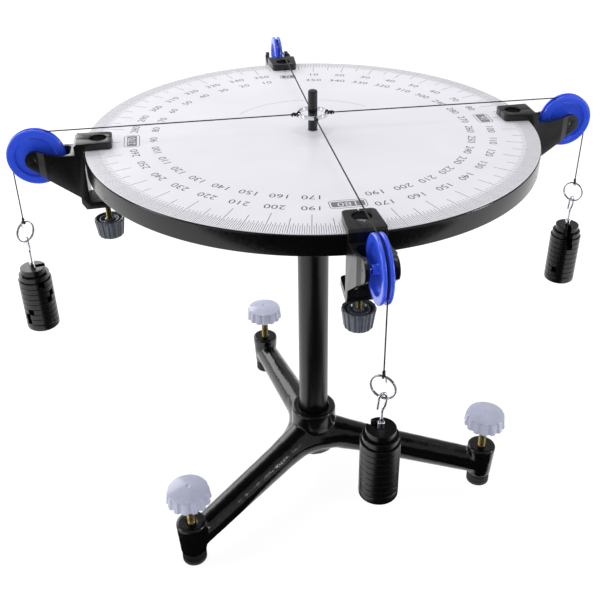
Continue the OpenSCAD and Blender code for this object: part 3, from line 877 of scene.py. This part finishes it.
thread = {
    "radius": 0.62, "plies": 3, "groove": 0.14, "lay": 3.0, "step": 0.3, "sides": 12,
    "ringReach": 12.7, "ringEye": (1.45, 2.4), "dropEye": (1.8, 1.35), "run": 21.5, "height": 410,
    "ringKnot": (4.6, 1.25), "dropKnot": (3.0, 0.75), "knotWraps": 3.5, "knotPoints": 70,
    "knotRadius": 0.5, "tailRadius": 0.45,   # the yarn pulled tight in the lower knot, and its free end
    "tail": ((0, 0, 0), (1.2, 0.6, -1.2), (1.6, 1.0, -3.2), (1.5, 1.2, -6.2)),
}


def plies(radius):   # the thread's outline: three plies side by side
    turns = [2 * pi * k / thread["sides"] for k in range(thread["sides"])]
    groove = thread["groove"]
    reach = [radius * (1 - groove + groove * cos(thread["plies"] * t)) for t in turns]
    return [(r * cos(t), r * sin(t)) for r, t in zip(reach, turns)]


def evenly(path, step):   # the path again, with its points a step apart
    points = [Vector(p) for p in path]
    out, left = [points[0]], step
    for a, b in zip(points, points[1:]):
        length = (b - a).length
        while left <= length:
            out.append(a + (b - a) * (left / length))
            left += step
        left -= length
    return out + [points[-1]]


def yarn(path, radius=None):
    points = evenly(path, thread["step"])
    return swept(points, plies(radius or thread["radius"]), 360 * thread["step"] / thread["lay"])


def eye(centre, half, turn, steps=40):   # a closed upright oval of thread, turned about the vertical
    out = Vector((cos(turn), sin(turn), 0))
    up = Vector((0, 0, 1))
    angles = [2 * pi * i / steps for i in range(steps + 1)]
    return [Vector(centre) + out * half[0] * cos(a) + up * half[1] * sin(a) for a in angles]


def knot(start, along, size, seed):   # wraps round the standing thread, a little uneven
    length, radius = size
    along = Vector(along).normalized()
    across = along.orthogonal().normalized()
    up = along.cross(across)
    path = []
    for i in range(thread["knotPoints"] + 1):
        share = i / thread["knotPoints"]
        turn = 2 * pi * thread["knotWraps"] * share + seed
        wobble = noise.noise(Vector((seed, share * 5, 0)))
        reach = radius * (0.7 + 0.4 * sin(pi * share)) + 0.35 * wobble
        middle = Vector(start) + along * (length * share + 0.5 * wobble)
        path.append(middle + across * reach * cos(turn) + up * reach * sin(turn))
    return path


def stationThread(mark):
    place = station(mark)
    inverse = place.inverted()
    wheelAt = inverse @ atJoint(f"pulley_spin_{mark}").translation
    ringAt = inverse @ atJoint(f"split_ring_swing_{mark}").translation
    ringAxis = inverse.to_3x3() @ Vector(joints[f"split_ring_swing_{mark}"]["axis"])
    loopTurn = atan2(ringAxis.y, ringAxis.x) - pi / 2
    centreEye = Vector((thread["ringReach"], 0, thread["height"]))
    start = centreEye + Vector((thread["ringEye"][0], 0, 0))
    hangTop = ringAt + Vector((0, 0, thread["dropEye"][1]))
    run = [start, Vector((wheelAt.x, 0, thread["height"]))]
    run += [Vector((x, 0, z)) for x, z in arc((wheelAt.x, wheelAt.z), thread["run"], 90, 0, 24)[1:]]
    run += [hangTop]
    tailTop = hangTop + Vector((0.3, 0.2, 0.6))
    shape = joined(
        yarn(eye(centreEye, thread["ringEye"], 0)),
        yarn(run),
        yarn(knot(start + Vector((0.4, 0, 0)), (1, 0, 0), thread["ringKnot"], mark + 1)),
        yarn(eye(ringAt, thread["dropEye"], loopTurn)),
        yarn(knot(hangTop + Vector((0, 0, 0.2)), (0, 0, 1), thread["dropKnot"], mark + 2),
             thread["knotRadius"]),
        yarn([tailTop + Vector(step) for step in thread["tail"]], thread["tailRadius"]),
    )
    addShape(f"thread_{mark}_cotton", moved(shape, place), "cotton", f"clamp_{mark}", "thread_dark",
             f"thread_{mark}", crease=80)


for mark in dials:
    stationThread(mark)
print("threads tied")


# Split rings, hangers and masses

splitRing = {
    "radius": 9.35, "wire": 0.55, "offset": 0.56, "cross": 36, "end": 150, "gap": 14, "steps": 150,
}
hook = {
    "wire": 1.2, "bend": 3.3, "tail": 8, "tailFlare": 0.9, "tailBow": 0.5, "neckDrop": 4, "neck": 8,
    "rodTop": -21.5, "rod": 2.5, "rodRound": 0.7, "rodChamfer": 0.3,
}
masses = {
    "edge": 0.14, "step": 0.17, "stepDeep": 0.9, "baseEdge": 0.35, "gap": 0.1, "top": -26.7, "slot": 2.75,
    "sizes": ((14.8, 5.4),) * 8 + ((13.5, 5.2), (11.25, 6)),   # (radius, thickness), the lowest first
    "slotTurn": {
        0: (200, 20, 75, 140, 250, 10, 320, 95, 180, 60),
        90: (70, 218, 120, 85, 145, 60, 266, 262, 262, 254),
        180: (150, 190, 120, 215, 135, 180, 225, 160, 200, 221),
        270: (46, 44, 62, 250, 140, 154, 290, 118, 265, 190),
    },
}


def splitRingWire(mark):   # two turns of wire side by side, which cross over between their ends
    place = atJoint(f"split_ring_swing_{mark}") @ Matrix.Translation((0, 0, -splitRing["radius"]))
    path = []
    sweep = 720 - splitRing["gap"]
    for i in range(splitRing["steps"] + 1):
        turn = splitRing["end"] + sweep * i / splitRing["steps"]
        side = max(-1, min(1, (turn - splitRing["end"] - sweep / 2) / splitRing["cross"]))
        offset = splitRing["offset"] * sin(side * pi / 2)
        t = radians(turn)
        path.append((offset, splitRing["radius"] * cos(t), splitRing["radius"] * sin(t)))
    addShape(f"split_ring_{mark}_wire", moved(swept(path, roundOutline(splitRing["wire"], 12)), place),
             "springSteel", f"link_{mark}", "split_ring_steel", f"split_ring_{mark}")


def hangerHook(mark):   # bent wire hook, swaged into its rod
    place = atJoint(f"hanger_swing_{mark}")
    lean = degrees(acos(1 - hook["bend"] / 2 / hook["neck"]))
    drop = 2 * hook["neck"] * sin(radians(lean))
    path = [(-hook["bend"] - hook["tailFlare"], -hook["tail"])]
    path += [(-hook["bend"] - hook["tailBow"], -hook["tail"] / 2)]
    path += arc((0, 0), hook["bend"], 184, 0, 28)
    path += arc((hook["bend"] - hook["neck"], -hook["neckDrop"]), hook["neck"], 0, -lean, 12)
    path += arc((hook["neck"], -hook["neckDrop"] - drop), hook["neck"], 180 - lean, 180, 12)[1:]
    path += [(0, hook["rodTop"] + 2), (0, hook["rodTop"] - 4)]
    wire = swept([(x, 0, z) for x, z in path], roundOutline(hook["wire"], 20))
    bottom = corners(f"hanger_hook_{mark}")[0].z - place.translation.z
    turn, rod, top, chamfer = hook["rodRound"], hook["rod"], hook["rodTop"], hook["rodChamfer"]
    profile = [(0, top), (rod - turn, top)] + arc((rod - turn, top - turn), turn, 90, 0, 5)[1:]
    profile += [(rod, bottom + chamfer), (rod - chamfer, bottom), (0, bottom)]
    shape = joined(wire, turned(profile, 48))
    addShape(f"hanger_hook_{mark}_wire", moved(shape, place), "chrome", f"hanger_{mark}", "hook_chrome",
             f"hanger_hook_{mark}", crease=40)


def slottedMass(radius, low, high, turn):   # a disc with a slot to its edge, stepped in on both faces
    edge, slot, step, deep = (masses[key] for key in ("edge", "slot", "step", "stepDeep"))
    rows = []
    for inset, height in ((deep, low), (deep, low + step), (edge, low + step), (0, low + step + edge),
                          (0, high - step - edge), (edge, high - step), (deep, high - step), (deep, high)):
        mouth = degrees(asin(slot / (radius - inset)))
        outline = arc((0, 0), radius - inset, mouth, 360 - mouth, 90) + arc((0, 0), slot, 270, 90, 16)
        rows.append([(x, y, height) for x, y in outline])
    shape = [vertex for row in rows for vertex in row], capped(len(rows), len(rows[0]))
    return moved(shape, standing(turn))


def massStack(mark):   # threaded on the rod at odd turns, the largest at the bottom
    place = station(mark)
    place.translation = atJoint(f"hanger_swing_{mark}").translation
    height = masses["top"]
    stack = []
    for (radius, thick), turn in reversed(list(zip(masses["sizes"], masses["slotTurn"][mark]))):
        stack.append(slottedMass(radius, height - thick, height, turn))
        height -= thick + masses["gap"]
    addShape(f"slotted_masses_{mark}_stack", moved(joined(*stack), place), "massEnamel", f"masses_{mark}",
             "mass_black", f"slotted_masses_{mark}", crease=30)


for mark in dials:
    splitRingWire(mark)
    hangerHook(mark)
    softened(f"hanger_base_{mark}", "massEnamel", f"hanger_{mark}", "mass_black", masses["baseEdge"])
    massStack(mark)
print("hangers and masses made")


# Studio: a white floor, broad soft lamps, and black flags in front that only reflections show

studio = {
    "floor": 12.0, "bounce": "#E2E2E2", "shownFloor": "#808080", "lift": 0.89, "mirroredLift": 1.0,
    "ambient": 0.47, "mirroredWorld": 0.42,
}
lamps = {
    "overhead": {"place": (0.1, 0.35, 2.2), "aim": (0, 0, 0.3), "size": (1.0, 1.0), "power": 9},
    "leftBox": {"place": (-1.7, -0.1, 0.9), "aim": (0, 0, 0.3), "size": (0.5, 0.8), "power": 7},
    "rightBox": {"place": (1.6, -0.6, 0.65), "aim": (0, 0, 0.2), "size": (0.25, 0.45), "power": 7},
    "backLeft": {"place": (-0.95, 1.35, 0.85), "aim": (0, 0, 0.3), "size": (1.3, 1.2), "power": 14},
    "backBox": {
        "place": (0.1, 1.0, 0.9), "aim": (0, 0, 0.35), "size": (1.6, 0.6), "power": 5.6, "mirrored": False,
    },
    "lowFront": {
        "place": (-0.5, -1.6, 0.33), "aim": (0, 0, 0.25), "size": (1.2, 0.4), "power": 3.5, "mirrored": False,
    },
}
flags = {
    "frontFlag": {"middle": (-0.2, -1.9, 0.75), "across": (2.2, 0, 0), "up": (0, 0, 1.5)},
    "floorFlag": {"middle": (-0.1, -1.2, 0.004), "across": (2.0, 0, 0), "up": (0, 1.2, 0)},
    "nearFlag": {"middle": (0.04, -0.34, 0.004), "across": (0.46, 0, 0), "up": (0, 0.52, 0)},
}


def quad(name, middle, across, up):
    middle, across, up = Vector(middle), Vector(across) / 2, Vector(up) / 2
    spots = [middle - across - up, middle + across - up, middle + across + up, middle - across + up]
    mesh = bpy.data.meshes.new(name)
    mesh.from_pydata(spots, [], [(0, 1, 2, 3)])
    card = newObject(name, mesh)
    return card


def seenRays(tree):   # 1 for the camera and for mirror-like rays, 0 for the light that falls on the object
    rays = addNode(tree, "ShaderNodeLightPath").outputs
    seen = rays["Is Camera Ray"]
    for other in ("Is Glossy Ray", "Is Transmission Ray"):
        seen = addNode(tree, "ShaderNodeMath", {}, {0: seen, 1: rays[other]}, operation="MAXIMUM").outputs[0]
    return seen


def byRay(tree, seen, mirrored):   # one value for the camera's rays, another for mirror-like rays
    glossy = addNode(tree, "ShaderNodeLightPath").outputs["Is Glossy Ray"]
    return addNode(tree, "ShaderNodeMix", {2: seen, 3: mirrored}, {0: glossy}).outputs[0]


def layFloor():   # plain white bounce, but shown lifted to white, so that only a light shadow is left
    floor = quad("floor", (0, 0, 0), (studio["floor"], 0, 0), (0, studio["floor"], 0))
    finish = bpy.data.materials.new("white_sweep")
    finish.use_nodes = True
    tree = finish.node_tree
    tree.nodes.clear()
    bounce = addNode(tree, "ShaderNodeBsdfDiffuse", {"Color": linear(studio["bounce"])})
    shown = addNode(tree, "ShaderNodeBsdfDiffuse", {"Color": linear(studio["shownFloor"])})
    strength = byRay(tree, studio["lift"], studio["mirroredLift"])
    lift = addNode(tree, "ShaderNodeEmission", {}, {"Strength": strength})
    lifted = addNode(tree, "ShaderNodeAddShader", {}, {0: shown.outputs[0], 1: lift.outputs[0]})
    sides = {0: seenRays(tree), 1: bounce.outputs[0], 2: lifted.outputs[0]}
    both = addNode(tree, "ShaderNodeMixShader", {}, sides)
    addNode(tree, "ShaderNodeOutputMaterial", {}, {"Surface": both.outputs[0]})
    floor.data.materials.append(finish)


def setFlags():
    finish = newFinish("black_felt", {"Base Color": linear("#060606"), "Roughness": 1.0})[0]
    for name, flag in flags.items():
        card = quad(name, **flag)
        card.data.materials.append(finish)
        card.visible_camera = False
        card.visible_diffuse = False
        card.visible_shadow = False


def hangLamp(name, place, aim, size, power, mirrored=True):
    light = bpy.data.lights.new(name, "AREA")
    light.shape = "RECTANGLE"
    light.size, light.size_y = size
    light.energy = power
    lamp = newObject(name, light)
    lamp.location = place
    lamp.visible_glossy = mirrored
    lamp.rotation_euler = (Vector(aim) - Vector(place)).to_track_quat("-Z", "Y").to_euler()


def lightWorld():
    world = bpy.data.worlds.new("studio")
    bpy.context.scene.world = world
    world.use_nodes = True
    tree = world.node_tree
    shown = byRay(tree, 1.0, studio["mirroredWorld"])
    strength = addNode(tree, "ShaderNodeMapRange", {"To Min": studio["ambient"]},
                       {"Value": seenRays(tree), "To Max": shown})
    background = tree.nodes["Background"]
    background.inputs["Color"].default_value = (1, 1, 1, 1)
    tree.links.new(strength.outputs["Result"], background.inputs["Strength"])


layFloor()
setFlags()
for name, lamp in lamps.items():
    hangLamp(name, **lamp)
lightWorld()
bpy.context.scene.view_settings.view_transform = "Standard"
print("studio lit")
